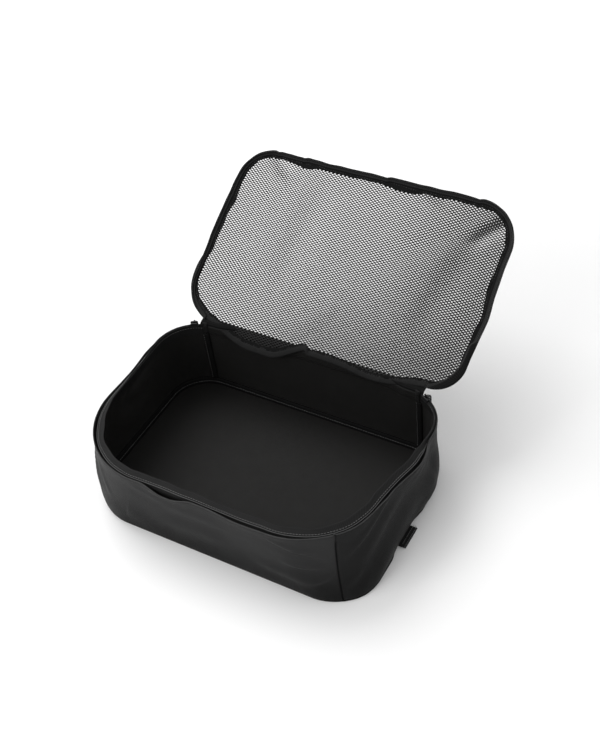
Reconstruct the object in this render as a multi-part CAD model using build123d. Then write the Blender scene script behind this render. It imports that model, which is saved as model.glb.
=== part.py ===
from build123d import *
import os
from math import atan2, cos, degrees, radians, sin

# Soft packing cube with a mesh lid, in millimetres. +Z is up, the origin is the middle of the base's underside,
# X runs along the long walls, and the lid hinges on the back wall (+Y).

# Driving dimensions
WIDTH = 360.0            # outside of the side walls
DEPTH = 240.0            # outside of the front and back walls
CORNER_RADIUS = 50.0     # upright corners of the tray and of the lid
FABRIC = 1.2             # two layers of wall fabric with their lining
BASE_THICKNESS = 1.6     # base panel with its stiffening sheet
WALL_TOP = 89.0          # top of the walls on the three zip sides
BACK_TOP = 94.0          # top of the back wall, below its hem
OPEN_ANGLE = 149.0       # how far the lid stands open at rest, from closed

# Zip
TAPE = 0.8               # thickness of a zip tape
TAPE_LOW = 83.0          # lower edge of the lower tape
COIL_DEPTH = 1.4         # how far a coil stands off its tape, towards the inside
COIL_HEIGHT = 1.5
LOWER_COIL_TOP = 95.5
COIL_GAP = 1.6           # room between the two coils for the slider's neck
ZIP_CENTRE = LOWER_COIL_TOP + COIL_GAP / 2
COIL_END = 70.0          # degrees round the back corners, from the side wall
TAPE_END = 74.0
SEAM_END = 76.0          # where the zip walls meet the back wall
STOP_START = 75.0
STOP_END = 80.5
UPPER_LIP_END = 53.0     # the upper coil stops short of the parked slider
PARK_ANGLE = 62.0        # middle of the parked slider

# Trim
HEM_HEIGHT = 2.5
HEM_PROUD = 0.4          # the rolled hem stands this far outside the wall
BACK_HEM_HEIGHT = 3.4
BINDING = 1.6            # folded binding tape
BASE_BINDING_HEIGHT = 8.0
SEAM_BINDING_SPAN = 10.0   # degrees of corner that a seam's binding covers
FRONT_SEAM = -53.0       # the front right corner's seam, in degrees from +X

# Lid, as it lies when closed
HINGE_Y = DEPTH / 2
HINGE_Z = 99.0
LID_Z = 101.9            # middle of the lid's thickness
LID_BORDER = 12.0
BORDER_THICKNESS = 2.0
LID_MESH = 0.6
MESH_TUCK = 3.0          # how far the mesh reaches into the border
LID_BACK_GAP = 4.0       # from the hinge axis to the lid's back edge
UPPER_TAPE_WIDTH = 7.8
LID_BINDING_INSET = 9.2
HINGE_HALF_LENGTH = 128.0
HINGE_ROLL_RADIUS = 1.2

# Slider
PLATE = 1.0
SLIDER_LENGTH = 9.0
SLIDER_HEIGHT = 6.4
OUTER_PLATE_GAP = 0.25
INNER_PLATE_GAP = 0.5
NECK_LENGTH = 3.0
NECK_HEIGHT = 1.1
CROWN_SPAN = 6.4         # between the outer faces of the crown's posts
CROWN_BAR_RADIUS = 0.6
CROWN_REACH = 2.8        # from the outer plate's face to the bar's axis
POST = 1.2

# Pull
LINK_WIRE = 1.0
LINK_INNER_RADIUS = 1.1
LINK_WIDTH = 1.6
LINK_DROP = 0.4          # how far the link hangs below being concentric with the bar
LINK_LENGTH = 6.0        # between the centres of the link's two round ends
GRIP_WIDTH = 7.0
GRIP_LENGTH = 26.0
GRIP_THICKNESS = 3.0
GRIP_NECK_THICKNESS = 1.6
GRIP_NECK_LENGTH = 5.0

# Side tab
TAB_LENGTH = 30.0
TAB_REACH = 5.6          # from its fold line outwards
TAB_THICKNESS = 2.4
TAB_Y = -3.5
TAB_GAP = 0.4            # between the wall and the tab's rounded root
TAB_LIFT = 0.2           # above the ground

CORNER_X = WIDTH / 2 - CORNER_RADIUS
CORNER_Y = DEPTH / 2 - CORNER_RADIUS
FAR = 400.0              # beyond the whole tray
TALL = 300.0


def outline(inset):
    """The tray's rounded plan, moved in from its outer face."""
    return RectangleRounded(WIDTH - 2 * inset, DEPTH - 2 * inset, CORNER_RADIUS - inset)


def band(outer, inner, low, high):
    """An upright band round the whole plan, between two insets and two heights."""
    return extrude(Pos(0, 0, low) * (outline(outer) - outline(inner)), high - low)


def ray(side, end, angle):
    """A far point seen from a corner's centre; side and end are the signs of X and Y."""
    x = side * (CORNER_X + FAR * cos(radians(angle)))
    y = end * CORNER_Y + FAR * sin(radians(angle))
    return (x, y)


def prism(points):
    """An upright prism, taller than the object, on a polygon of plan points."""
    return extrude(Pos(0, 0, -TALL / 2) * make_face(Polyline(*points, close=True)), TALL)


def behind(angle):
    """Everything behind the rays that leave both back corner centres at an angle."""
    right = ray(1, 1, angle)
    left = ray(-1, 1, angle)
    return prism([(CORNER_X, CORNER_Y), right, left, (-CORNER_X, CORNER_Y)])


def right_of_seams():
    """Everything between the front right seam and the back right seam."""
    front = ray(1, -1, FRONT_SEAM)
    back = ray(1, 1, SEAM_END)
    return prism([(CORNER_X, -CORNER_Y), front, (2 * FAR, 0), back, (CORNER_X, CORNER_Y)])


def corner_wedge(side, end, start, stop):
    """The slice of one rounded corner between two angles."""
    first = ray(side, end, start)
    last = ray(side, end, stop)
    return prism([(side * CORNER_X, end * CORNER_Y), first, last])


# Tray

def base_panel():
    return extrude(outline(FABRIC), BASE_THICKNESS)


def gussets():
    """The wall strip from the back left seam round the front, and the right wall."""
    wall = band(0, FABRIC, 0, WALL_TOP) - behind(SEAM_END)
    right = wall & right_of_seams()
    front_left = wall - right_of_seams()
    return front_left, right


def back_gusset():
    return band(0, FABRIC, 0, BACK_TOP) & behind(SEAM_END)


def back_hem():
    return band(0, FABRIC, BACK_TOP, BACK_TOP + BACK_HEM_HEIGHT) & behind(SEAM_END)


def rim_hem():
    hem = band(-HEM_PROUD, FABRIC, WALL_TOP, WALL_TOP + HEM_HEIGHT)
    return hem - behind(SEAM_END)


def base_binding():
    return band(FABRIC, FABRIC + BINDING, BASE_THICKNESS, BASE_THICKNESS + BASE_BINDING_HEIGHT)


def seam_binding(side, end, seam):
    """The tape that binds one upright seam on the inside, from the base binding to the zip tape."""
    low = BASE_THICKNESS + BASE_BINDING_HEIGHT
    strip = band(FABRIC, FABRIC + BINDING, low, TAPE_LOW)
    half = SEAM_BINDING_SPAN / 2
    return strip & corner_wedge(side, end, seam - half, seam + half)


def zip_tape_lower():
    return band(FABRIC, FABRIC + TAPE, TAPE_LOW, LOWER_COIL_TOP) - behind(TAPE_END)


def zip_coil_lower():
    inner = FABRIC + TAPE
    coil = band(inner, inner + COIL_DEPTH, LOWER_COIL_TOP - COIL_HEIGHT, LOWER_COIL_TOP)
    return coil - behind(COIL_END)


def zip_stop(side):
    """The folded tab that closes off one end of the zip, inside the back wall."""
    low = TAPE_LOW + 2
    high = BACK_TOP + BACK_HEM_HEIGHT - 1
    block = band(FABRIC, FABRIC + 2.2, low, high)
    return block & corner_wedge(side, 1, STOP_START, STOP_END)


# Lid, drawn closed and then opened about its hinge

def in_front_of_hinge():
    """Everything in front of the lid's straight back edge."""
    return Pos(0, HINGE_Y - LID_BACK_GAP - FAR, LID_Z) * Box(2 * FAR, 2 * FAR, TALL)


def lid_border():
    low = LID_Z - BORDER_THICKNESS / 2
    border = band(0, LID_BORDER, low, low + BORDER_THICKNESS)
    groove_low = LID_Z - LID_MESH / 2
    groove = band(LID_BORDER - MESH_TUCK, LID_BORDER, groove_low, groove_low + LID_MESH)
    return (border - groove) & in_front_of_hinge()


def lid_mesh():
    low = LID_Z - LID_MESH / 2
    return extrude(Pos(0, 0, low) * outline(LID_BORDER - MESH_TUCK), LID_MESH)


def zip_tape_upper():
    """A flat band under the border, with its outer edge turned down towards the lower tape."""
    high = LID_Z - BORDER_THICKNESS / 2
    flat = band(FABRIC, FABRIC + UPPER_TAPE_WIDTH, high - TAPE, high) - behind(TAPE_END)
    lip = band(FABRIC, FABRIC + TAPE, LOWER_COIL_TOP + COIL_GAP, high - TAPE) - behind(UPPER_LIP_END)
    return (flat + lip) & in_front_of_hinge()


def zip_coil_upper():
    inner = FABRIC + TAPE
    low = LOWER_COIL_TOP + COIL_GAP
    return band(inner, inner + COIL_DEPTH, low, low + COIL_HEIGHT) - behind(UPPER_LIP_END)


def lid_seam_binding():
    high = LID_Z - BORDER_THICKNESS / 2
    return band(LID_BINDING_INSET, LID_BORDER + 0.6, high - 1.0, high)


def hinge_strip():
    """The fold that joins the back wall to the lid: a roll on the axis and a web up to the lid's back edge."""
    roll = Rot(0, 90, 0) * Cylinder(HINGE_ROLL_RADIUS, 2 * HINGE_HALF_LENGTH)
    rise = degrees(atan2(LID_Z - HINGE_Z, LID_BACK_GAP))
    web = Rot(-rise, 0, 0) * Pos(0, -LID_BACK_GAP, 0)
    web *= Box(2 * HINGE_HALF_LENGTH, 2 * LID_BACK_GAP, HINGE_ROLL_RADIUS)
    return Pos(0, HINGE_Y, HINGE_Z) * (roll + web) - in_front_of_hinge()


def opened(shape):
    """Turn a lid piece from closed to its rest pose."""
    hinge = Pos(0, HINGE_Y, HINGE_Z)
    return hinge * Rot(-OPEN_ANGLE, 0, 0) * hinge.inverse() * shape


# Slider and pull, drawn where the right side wall begins and then moved round the corner

def rounded_plate(offset, low, height, length, corner):
    """A plate that faces outwards, its inner face at an offset from the wall's outer face."""
    centre = (WIDTH / 2 + offset, CORNER_Y, low + height / 2)
    upright = Plane(origin=centre, x_dir=(0, 1, 0), z_dir=(1, 0, 0))
    return extrude(upright * RectangleRounded(length, height, corner), PLATE)


def slider_body():
    low = ZIP_CENTRE - SLIDER_HEIGHT / 2
    outer_offset = OUTER_PLATE_GAP - FABRIC
    inner_face = -(FABRIC + TAPE + COIL_DEPTH + INNER_PLATE_GAP)
    outer = rounded_plate(outer_offset, low, SLIDER_HEIGHT, SLIDER_LENGTH, 1.6)
    inner = rounded_plate(inner_face - PLATE, low, SLIDER_HEIGHT, SLIDER_LENGTH, 1.6)

    neck_depth = outer_offset - inner_face
    neck_x = WIDTH / 2 + inner_face + neck_depth / 2
    neck_y = CORNER_Y - SLIDER_LENGTH / 2 + NECK_LENGTH / 2 + 0.4
    neck = Pos(neck_x, neck_y, ZIP_CENTRE) * Box(neck_depth, NECK_LENGTH, NECK_HEIGHT)

    lip_depth = COIL_DEPTH + INNER_PLATE_GAP - 0.3
    lip_height = 0.6
    lip_x = WIDTH / 2 + inner_face + lip_depth / 2
    lip = Pos(lip_x, CORNER_Y, low + lip_height / 2) * Box(lip_depth, SLIDER_LENGTH - 3.2, lip_height)

    face = WIDTH / 2 + outer_offset + PLATE
    body = outer + inner + neck + lip
    for sign in (-1, 1):
        post_y = CORNER_Y + sign * (CROWN_SPAN - POST) / 2
        body += Pos(face + CROWN_REACH / 2, post_y, ZIP_CENTRE) * Box(CROWN_REACH, POST, 2 * CROWN_BAR_RADIUS)
    bar = Rot(90, 0, 0) * Cylinder(CROWN_BAR_RADIUS, CROWN_SPAN)
    return body + Pos(face + CROWN_REACH, CORNER_Y, ZIP_CENTRE) * bar


def bar_x():
    """Where the crown's bar runs, in X, before the slider moves round the corner."""
    return WIDTH / 2 + OUTER_PLATE_GAP - FABRIC + PLATE + CROWN_REACH


def pull_link():
    """A flat metal link that hangs on the crown's bar."""
    outer_radius = LINK_INNER_RADIUS + LINK_WIRE
    outer = SlotCenterToCenter(LINK_LENGTH, 2 * outer_radius, 90)
    inner = SlotCenterToCenter(LINK_LENGTH, 2 * LINK_INNER_RADIUS, 90)
    link = extrude(outer - inner, LINK_WIDTH / 2, both=True)
    return Pos(bar_x(), CORNER_Y, ZIP_CENTRE - LINK_DROP - LINK_LENGTH / 2) * Rot(90, 0, 0) * link


def pull_grip():
    """A moulded grip, whose thin neck has a window round the link's lower end."""
    link_bottom = ZIP_CENTRE - LINK_DROP - LINK_LENGTH - LINK_INNER_RADIUS
    top = link_bottom + 1.8
    neck = Pos(bar_x(), CORNER_Y, top - GRIP_NECK_LENGTH / 2)
    neck *= Box(GRIP_NECK_THICKNESS, GRIP_WIDTH - 1.4, GRIP_NECK_LENGTH)
    neck = fillet(neck.edges().filter_by(Axis.X), 1.0)
    window = Pos(bar_x(), CORNER_Y, link_bottom - LINK_WIRE / 2)
    window *= Box(2 * GRIP_THICKNESS, LINK_WIDTH + 0.8, LINK_WIRE + 0.6)
    shaft_length = GRIP_LENGTH - GRIP_NECK_LENGTH
    shaft_z = top - GRIP_NECK_LENGTH - shaft_length / 2 + 0.8
    shaft = Pos(bar_x(), CORNER_Y, shaft_z) * Box(GRIP_THICKNESS, GRIP_WIDTH, shaft_length)
    shaft = fillet(shaft.edges().filter_by(Axis.X), 2.0)
    shaft = fillet(shaft.edges(), 0.7)
    return neck - window + shaft


def round_corner(shape):
    """Move a piece from the start of the side wall to the parked place round the back corner."""
    centre = Pos(CORNER_X, CORNER_Y, 0)
    return centre * Rot(0, 0, PARK_ANGLE) * centre.inverse() * shape


def parked(shape, side):
    """The parked piece on the right (1) or, mirrored, on the left (-1)."""
    placed = round_corner(shape)
    return placed if side > 0 else mirror(placed, Plane.YZ)


# Side tab

def side_tab():
    """A folded webbing tab at the foot of the right wall, with a rounded root on its fold line."""
    radius = TAB_THICKNESS / 2
    root_x = WIDTH / 2 + TAB_GAP + radius
    middle_z = TAB_LIFT + radius
    root = Pos(root_x, TAB_Y, middle_z) * Rot(90, 0, 0) * Cylinder(radius, TAB_LENGTH)
    flap = Pos(root_x + TAB_REACH / 2, TAB_Y, middle_z) * Box(TAB_REACH, TAB_LENGTH, TAB_THICKNESS)
    outer_corners = flap.edges().filter_by(Axis.Z).group_by(Axis.X)[-1]
    return root + fillet(outer_corners, 2.0)


def solid_of(shape):
    """The shape as one solid, or as it is where it holds several."""
    solids = shape.solids()
    return solids[0] if len(solids) == 1 else shape


def main():
    front_left, right = gussets()
    pieces = {
        "base_panel": base_panel(),
        "front_left_gusset": front_left,
        "right_gusset": right,
        "back_gusset": back_gusset(),
        "back_hem": back_hem(),
        "rim_hem": rim_hem(),
        "base_binding": base_binding(),
        "front_right_seam_binding": seam_binding(1, -1, FRONT_SEAM),
        "back_right_seam_binding": seam_binding(1, 1, SEAM_END),
        "back_left_seam_binding": seam_binding(-1, 1, SEAM_END),
        "zip_tape_lower": zip_tape_lower(),
        "zip_coil_lower": zip_coil_lower(),
        "zip_stop_right": zip_stop(1),
        "zip_stop_left": zip_stop(-1),
        "lid_border": opened(lid_border()),
        "lid_mesh": opened(lid_mesh()),
        "zip_tape_upper": opened(zip_tape_upper()),
        "zip_coil_upper": opened(zip_coil_upper()),
        "lid_seam_binding": opened(lid_seam_binding()),
        "hinge_strip": opened(hinge_strip()),
        "side_tab": side_tab(),
    }
    for name, side in (("right", 1), ("left", -1)):
        pieces[f"slider_{name}"] = parked(slider_body(), side)
        pieces[f"pull_link_{name}"] = parked(pull_link(), side)
        pieces[f"pull_grip_{name}"] = parked(pull_grip(), side)

    os.makedirs("parts", exist_ok=True)
    for name, shape in pieces.items():
        export_step(solid_of(shape), f"parts/{name}.step")
    print("corner centre", CORNER_X, CORNER_Y, "crown bar x", bar_x(), "z", ZIP_CENTRE)


main()
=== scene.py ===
import math

import bpy
import numpy as np
from mathutils import Matrix, Vector


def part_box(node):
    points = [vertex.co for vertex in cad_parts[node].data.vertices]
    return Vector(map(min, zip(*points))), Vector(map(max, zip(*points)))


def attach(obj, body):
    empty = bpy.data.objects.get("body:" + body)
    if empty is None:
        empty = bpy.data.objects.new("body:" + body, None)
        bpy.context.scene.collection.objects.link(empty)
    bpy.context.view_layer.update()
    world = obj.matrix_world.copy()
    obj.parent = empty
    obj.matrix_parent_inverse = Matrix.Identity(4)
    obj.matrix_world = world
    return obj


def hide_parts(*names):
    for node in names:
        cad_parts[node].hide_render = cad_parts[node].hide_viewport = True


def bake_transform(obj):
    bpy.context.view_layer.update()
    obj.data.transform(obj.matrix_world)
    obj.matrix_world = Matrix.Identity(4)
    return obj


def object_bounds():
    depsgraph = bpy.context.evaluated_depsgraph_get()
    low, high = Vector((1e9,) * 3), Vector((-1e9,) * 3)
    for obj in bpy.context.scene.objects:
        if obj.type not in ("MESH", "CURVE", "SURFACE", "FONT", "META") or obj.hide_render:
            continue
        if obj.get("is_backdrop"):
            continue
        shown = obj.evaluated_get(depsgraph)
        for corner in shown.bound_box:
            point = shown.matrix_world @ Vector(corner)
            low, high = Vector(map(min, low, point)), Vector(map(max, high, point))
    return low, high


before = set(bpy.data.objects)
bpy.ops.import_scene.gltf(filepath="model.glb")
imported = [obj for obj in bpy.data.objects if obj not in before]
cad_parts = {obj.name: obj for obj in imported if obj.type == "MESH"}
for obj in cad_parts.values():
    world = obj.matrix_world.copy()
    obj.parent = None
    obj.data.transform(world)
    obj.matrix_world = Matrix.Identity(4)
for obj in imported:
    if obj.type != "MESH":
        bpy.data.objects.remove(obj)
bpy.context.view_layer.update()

# Lengths are in millimetres until a mesh is made. A plan is a rounded outline seen from above, and t goes
# round it from 0 to 8: the front wall, the front right corner, the right wall and so on, anticlockwise.
MM = 0.001
TURN = 2 * math.pi

# The tray's outline where its walls meet the base, at the top of its walls, and as the CAD draws it, which is
# the sliders' way round the back corners. The radii start at the front right corner.
FOOT = {"front": -121.0, "right": 180.0, "back": 119.0, "left": -177.0, "radii": (55.0, 50.0, 50.0, 65.0)}
RIM = {"front": -121.5, "right": 180.0, "back": 120.0, "left": -180.0, "radii": (98.0, 50.0, 50.0, 92.0)}
TRACK = {"front": -120.0, "right": 180.0, "back": 120.0, "left": -180.0, "radii": (50.0, 50.0, 50.0, 50.0)}
RIM_Z = 93.0
BACK_WALL_Z = 94.0
FABRIC = 1.2
# The upright seams, as values of t
FRONT_SEAM = 1.43
BACK_RIGHT_SEAM = 3.844
BACK_LEFT_SEAM = 5.156

# The lid as it lies when closed, its hinge line, and how far it stands open
LID = {"front": -110.8, "right": 183.0, "back": 116.0, "left": -183.0, "radii": (49.0, 35.0, 53.0, 39.0)}
LID_Z = 101.9
HINGE_Y = 120.0
HINGE_Z = 99.0
OPEN_ANGLE = math.radians(149)

# How far apart the points along a wall, a hem or a tape are
STEP = 2.0


# Numbers and curves

def smooth(start, end, x):
    """0 before start and 1 after end."""
    f = np.clip((x - start) / (end - start), 0, 1)
    return f * f * (3 - 2 * f)


def bell(x, centre, width):
    return np.exp(-(((x - centre) / width) ** 2))


def ripple(x, pitch, seed):
    """An uneven wave of about the given pitch, between -1 and 1."""
    draw = np.random.default_rng(seed)
    total = 0
    for stretch in (1.0, 0.63, 1.7, 2.9):
        total = total + np.sin(TURN * (x / (pitch * stretch) + draw.random()))
    return total / 3


def plan(t, front, right, back, left, radii):
    """Points on a rounded outline and the directions outwards."""
    r = np.array(radii)
    centre_x = np.array([right - r[0], right - r[1], left + r[2], left + r[3]])
    centre_y = np.array([front + r[0], back - r[1], back - r[2], front + r[3]])
    t = np.mod(np.asarray(t, float), 8)
    side = np.minimum(np.floor(t / 2).astype(int), 3)
    along = np.clip(t - 2 * side, 0, 1)
    square = (side - 1) * math.pi / 2
    angle = square + np.clip(t - 2 * side - 1, 0, 1) * math.pi / 2
    before = (side + 3) % 4
    x0 = centre_x[before] + r[before] * np.cos(square)
    y0 = centre_y[before] + r[before] * np.sin(square)
    x1 = centre_x[side] + r[side] * np.cos(square)
    y1 = centre_y[side] + r[side] * np.sin(square)
    corner = t - 2 * side > 1
    x = np.where(corner, centre_x[side] + r[side] * np.cos(angle), x0 + (x1 - x0) * along)
    y = np.where(corner, centre_y[side] + r[side] * np.sin(angle), y0 + (y1 - y0) * along)
    return np.stack([x, y], -1), np.stack([np.cos(angle), np.sin(angle)], -1)


def back_right(degrees):
    """t in the back right corner, by the angle from the right wall."""
    return 3 + degrees / 90


def back_left(degrees):
    """t in the back left corner, by the angle from the left wall."""
    return 6 - degrees / 90


def run_along(points):
    """How far along a line of points each one is."""
    return np.concatenate([[0], np.cumsum(np.linalg.norm(np.diff(points, axis=0), axis=1))])


def outline_run(outline):
    """Distance along an outline as a function of t."""
    fine = np.linspace(0, 16, 4000)
    run = run_along(plan(fine, **outline)[0])
    return lambda t: np.interp(t, fine, run)


rim_run = outline_run(RIM)
lid_run = outline_run(LID)


def stations(start, stop, step, outline):
    """Values of t a step apart along an outline, and how far along it each one is."""
    fine = np.linspace(start, stop, 3000)
    run = run_along(plan(fine, **outline)[0])
    count = int(round(run[-1] / step)) + 1
    lengths = np.linspace(0, run[-1], count)
    return np.interp(lengths, run, fine), lengths


def flat3(vectors):
    """Plan directions as directions in space."""
    return np.concatenate([vectors, np.zeros((*vectors.shape[:-1], 1))], -1)


def upward(count):
    return np.tile([0.0, 0.0, 1.0], (count, 1))


def opened(points):
    """Lid points turned from closed to rest."""
    y = points[..., 1] - HINGE_Y
    z = points[..., 2] - HINGE_Z
    turned_y = y * math.cos(OPEN_ANGLE) + z * math.sin(OPEN_ANGLE)
    turned_z = -y * math.sin(OPEN_ANGLE) + z * math.cos(OPEN_ANGLE)
    return np.stack([points[..., 0], HINGE_Y + turned_y, HINGE_Z + turned_z], -1)


# Meshes

def make_object(name, points, faces, cloth=None, materials=(), picked=None):
    """A smooth mesh object from points in millimetres. cloth holds each point's place on its flat cut."""
    mesh = bpy.data.meshes.new(name)
    mesh.from_pydata((np.asarray(points) * MM).tolist(), [], faces)
    mesh.validate()
    if cloth is not None:
        flat = np.zeros((len(points), 3), np.float32)
        flat[:, :2] = cloth
        mesh.attributes.new("cloth", "FLOAT_VECTOR", "POINT").data.foreach_set("vector", flat.ravel())
    mesh.polygons.foreach_set("use_smooth", [True] * len(mesh.polygons))
    for material in materials:
        mesh.materials.append(material)
    if picked is not None:
        mesh.polygons.foreach_set("material_index", picked)
    mesh.update()
    made = bpy.data.objects.new(name, mesh)
    bpy.context.scene.collection.objects.link(made)
    return made


def swept(name, grid, loop=False, materials=(), second=None):
    """A closed skin on a grid of points, whose rows are closed cross-sections. The ends are capped unless the
    rows make a loop. second is the pair of columns between which it takes the second material."""
    rows, columns, _ = grid.shape
    last = rows if loop else rows - 1
    faces, picked = [], []
    for i in range(last):
        a, b = i * columns, (i + 1) % rows * columns
        for j in range(columns):
            k = (j + 1) % columns
            faces.append((a + j, b + j, b + k, a + k))
            picked.append(1 if second and second[0] <= j < second[1] else 0)
    if not loop:
        for i, flip in ((0, False), (rows - 1, True)):
            base = i * columns
            for j in range(columns // 2 - 1):
                quad = [base + j, base + j + 1, base + columns - 2 - j, base + columns - 1 - j]
                faces.append(tuple(reversed(quad)) if flip else tuple(quad))
                picked.append(0)
    along = np.concatenate([[0], np.cumsum(np.linalg.norm(np.diff(grid, axis=0), axis=2).mean(1))])
    across = np.cumsum(np.linalg.norm(grid - np.roll(grid, 1, axis=1), axis=2).mean(0))
    cloth = np.stack(np.broadcast_arrays(along[:, None], across[None, :]), -1).reshape(-1, 2)
    return make_object(name, grid.reshape(-1, 3), faces, cloth, materials, picked if second else None)


# A stitch as (share of its length, height in radii), and the sides of its thread
STITCH = ((0.0, -0.75), (0.18, 0.35), (0.5, 0.75), (0.82, 0.35), (1.0, -0.75))
THREAD_SIDES = 5


def stitches(name, path, outward, material, pitch=3.2, length=2.1, radius=0.24):
    """A row of sewing stitches along a path. outward holds the cloth's outward direction at each point."""
    run = run_along(path)
    points, faces = [], []
    for start in np.arange(0.6, run[-1] - length, pitch):
        centre = [np.interp(start + length * f, run, path[:, k]) for f, _ in STITCH for k in range(3)]
        line = np.array(centre).reshape(-1, 3)
        up = np.array([np.interp(start + length / 2, run, outward[:, k]) for k in range(3)])
        up /= np.linalg.norm(up)
        ahead = line[-1] - line[0]
        side = np.cross(ahead / np.linalg.norm(ahead), up)
        base = len(points)
        for (f, lift), centre in zip(STITCH, line):
            size = radius * (0.55 if f in (0.0, 1.0) else 1.0)
            for k in range(THREAD_SIDES):
                angle = TURN * k / THREAD_SIDES
                raised = up * (radius * lift + size * math.sin(angle))
                points.append(centre + raised + side * size * math.cos(angle))
        for ring in range(len(STITCH) - 1):
            a = base + ring * THREAD_SIDES
            b = a + THREAD_SIDES
            for k in range(THREAD_SIDES):
                m = (k + 1) % THREAD_SIDES
                faces.append((a + k, a + m, b + m, b + k))
        last = len(points) - THREAD_SIDES
        faces.append(tuple(base + k for k in reversed(range(THREAD_SIDES))))
        faces.append(tuple(last + k for k in range(THREAD_SIDES)))
    return make_object(name, np.array(points), faces, None, [material])


# Materials

def node_material(name, colour, roughness, sheen=0.0, sheen_roughness=0.5, metallic=0.0, specular=0.5):
    material = bpy.data.materials.new(name)
    material.use_nodes = True
    shader = material.node_tree.nodes["Principled BSDF"]
    shader.inputs["Base Color"].default_value = (*colour, 1)
    shader.inputs["Roughness"].default_value = roughness
    shader.inputs["Metallic"].default_value = metallic
    shader.inputs["Specular IOR Level"].default_value = specular
    shader.inputs["Sheen Weight"].default_value = sheen
    shader.inputs["Sheen Roughness"].default_value = sheen_roughness
    return material, material.node_tree.nodes, material.node_tree.links, shader


def add(nodes, kind, **values):
    """A node with its properties and input sockets set."""
    node = nodes.new(kind)
    for key, value in values.items():
        if key in node.bl_rna.properties:
            setattr(node, key, value)
        else:
            node.inputs[key.replace("_", " ")].default_value = value
    return node


# Up to this height in metres a wall's cloth is darker: painted shade at the foot of the walls
SHADE_HEIGHT = 0.075
# The weave's angle in a twill
TWILL_ANGLE = math.radians(40)


def grey(level):
    return (level, level, level)


def cloth_material(name, colour, roughness=0.6, sheen=0.0, pitch=0.55, twill=False, bump=0.35, mottle=0.25,
                   specular=0.5, mottle_scale=60.0, from_object=False, foot_shade=1.0, contrast=0.35):
    """Woven cloth: a plain weave or a twill at the given pitch in millimetres, with uneven colour and gloss.
    Its colour is multiplied by foot_shade at the floor, a painted shade that fades out by SHADE_HEIGHT."""
    material, nodes, links, shader = node_material(name, colour, roughness, sheen, 0.45, 0.0, specular)
    if from_object:
        place = add(nodes, "ShaderNodeTexCoord").outputs["Object"]
    else:
        place = add(nodes, "ShaderNodeAttribute", attribute_name="cloth").outputs["Vector"]
    waves = []
    unit = 1.0 / MM if from_object else 1.0
    scale = (unit * math.pi / 10 / pitch,) * 3
    for turn in (TWILL_ANGLE,) if twill else (0, math.pi / 2):
        mapped = add(nodes, "ShaderNodeMapping", Rotation=(0, 0, turn), Scale=scale)
        links.new(place, mapped.inputs["Vector"])
        wave = add(nodes, "ShaderNodeTexWave", wave_type="BANDS", bands_direction="X", Scale=1.0,
                   Distortion=0.6, Detail=1.0)
        links.new(mapped.outputs["Vector"], wave.inputs["Vector"])
        waves.append(wave.outputs["Fac"])
    weave = waves[0]
    if not twill:
        both = add(nodes, "ShaderNodeMath", operation="MULTIPLY")
        links.new(waves[0], both.inputs[0])
        links.new(waves[1], both.inputs[1])
        weave = both.outputs[0]
    position = add(nodes, "ShaderNodeTexCoord").outputs["Object"]
    patches = add(nodes, "ShaderNodeTexNoise", Scale=mottle_scale, Detail=4.0, Roughness=0.6)
    links.new(position, patches.inputs["Vector"])
    shade = add(nodes, "ShaderNodeMath", operation="MULTIPLY_ADD")
    shade.inputs[1].default_value = mottle
    shade.inputs[2].default_value = 1.0 - mottle / 2 - 0.43 * contrast
    links.new(patches.outputs["Fac"], shade.inputs[0])
    woven = add(nodes, "ShaderNodeMath", operation="MULTIPLY_ADD")
    woven.inputs[1].default_value = contrast
    links.new(weave, woven.inputs[0])
    links.new(shade.outputs[0], woven.inputs[2])
    # Painted shade: the colour grows darker towards the floor, down to foot_shade times its own
    height = add(nodes, "ShaderNodeSeparateXYZ")
    links.new(position, height.inputs["Vector"])
    painted_foot_shade = add(nodes, "ShaderNodeMapRange", interpolation_type="SMOOTHSTEP", From_Max=SHADE_HEIGHT,
               To_Min=foot_shade)
    links.new(height.outputs["Z"], painted_foot_shade.inputs["Value"])
    shaded_weave = add(nodes, "ShaderNodeMath", operation="MULTIPLY")
    links.new(woven.outputs[0], shaded_weave.inputs[0])
    links.new(painted_foot_shade.outputs["Result"], shaded_weave.inputs[1])
    tint = add(nodes, "ShaderNodeVectorMath", operation="SCALE")
    tint.inputs[0].default_value = colour
    links.new(shaded_weave.outputs[0], tint.inputs["Scale"])
    links.new(tint.outputs["Vector"], shader.inputs["Base Color"])
    gloss = add(nodes, "ShaderNodeMapRange", To_Min=roughness - 0.07, To_Max=roughness + 0.09)
    links.new(patches.outputs["Fac"], gloss.inputs["Value"])
    links.new(gloss.outputs["Result"], shader.inputs["Roughness"])
    relief = add(nodes, "ShaderNodeBump", Strength=bump, Distance=0.00025)
    links.new(weave, relief.inputs["Height"])
    crumple = add(nodes, "ShaderNodeBump", Strength=0.25, Distance=0.0006)
    soft = add(nodes, "ShaderNodeTexNoise", Scale=140.0, Detail=3.0)
    links.new(position, soft.inputs["Vector"])
    links.new(soft.outputs["Fac"], crumple.inputs["Height"])
    links.new(relief.outputs["Normal"], crumple.inputs["Normal"])
    links.new(crumple.outputs["Normal"], shader.inputs["Normal"])
    return material


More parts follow.
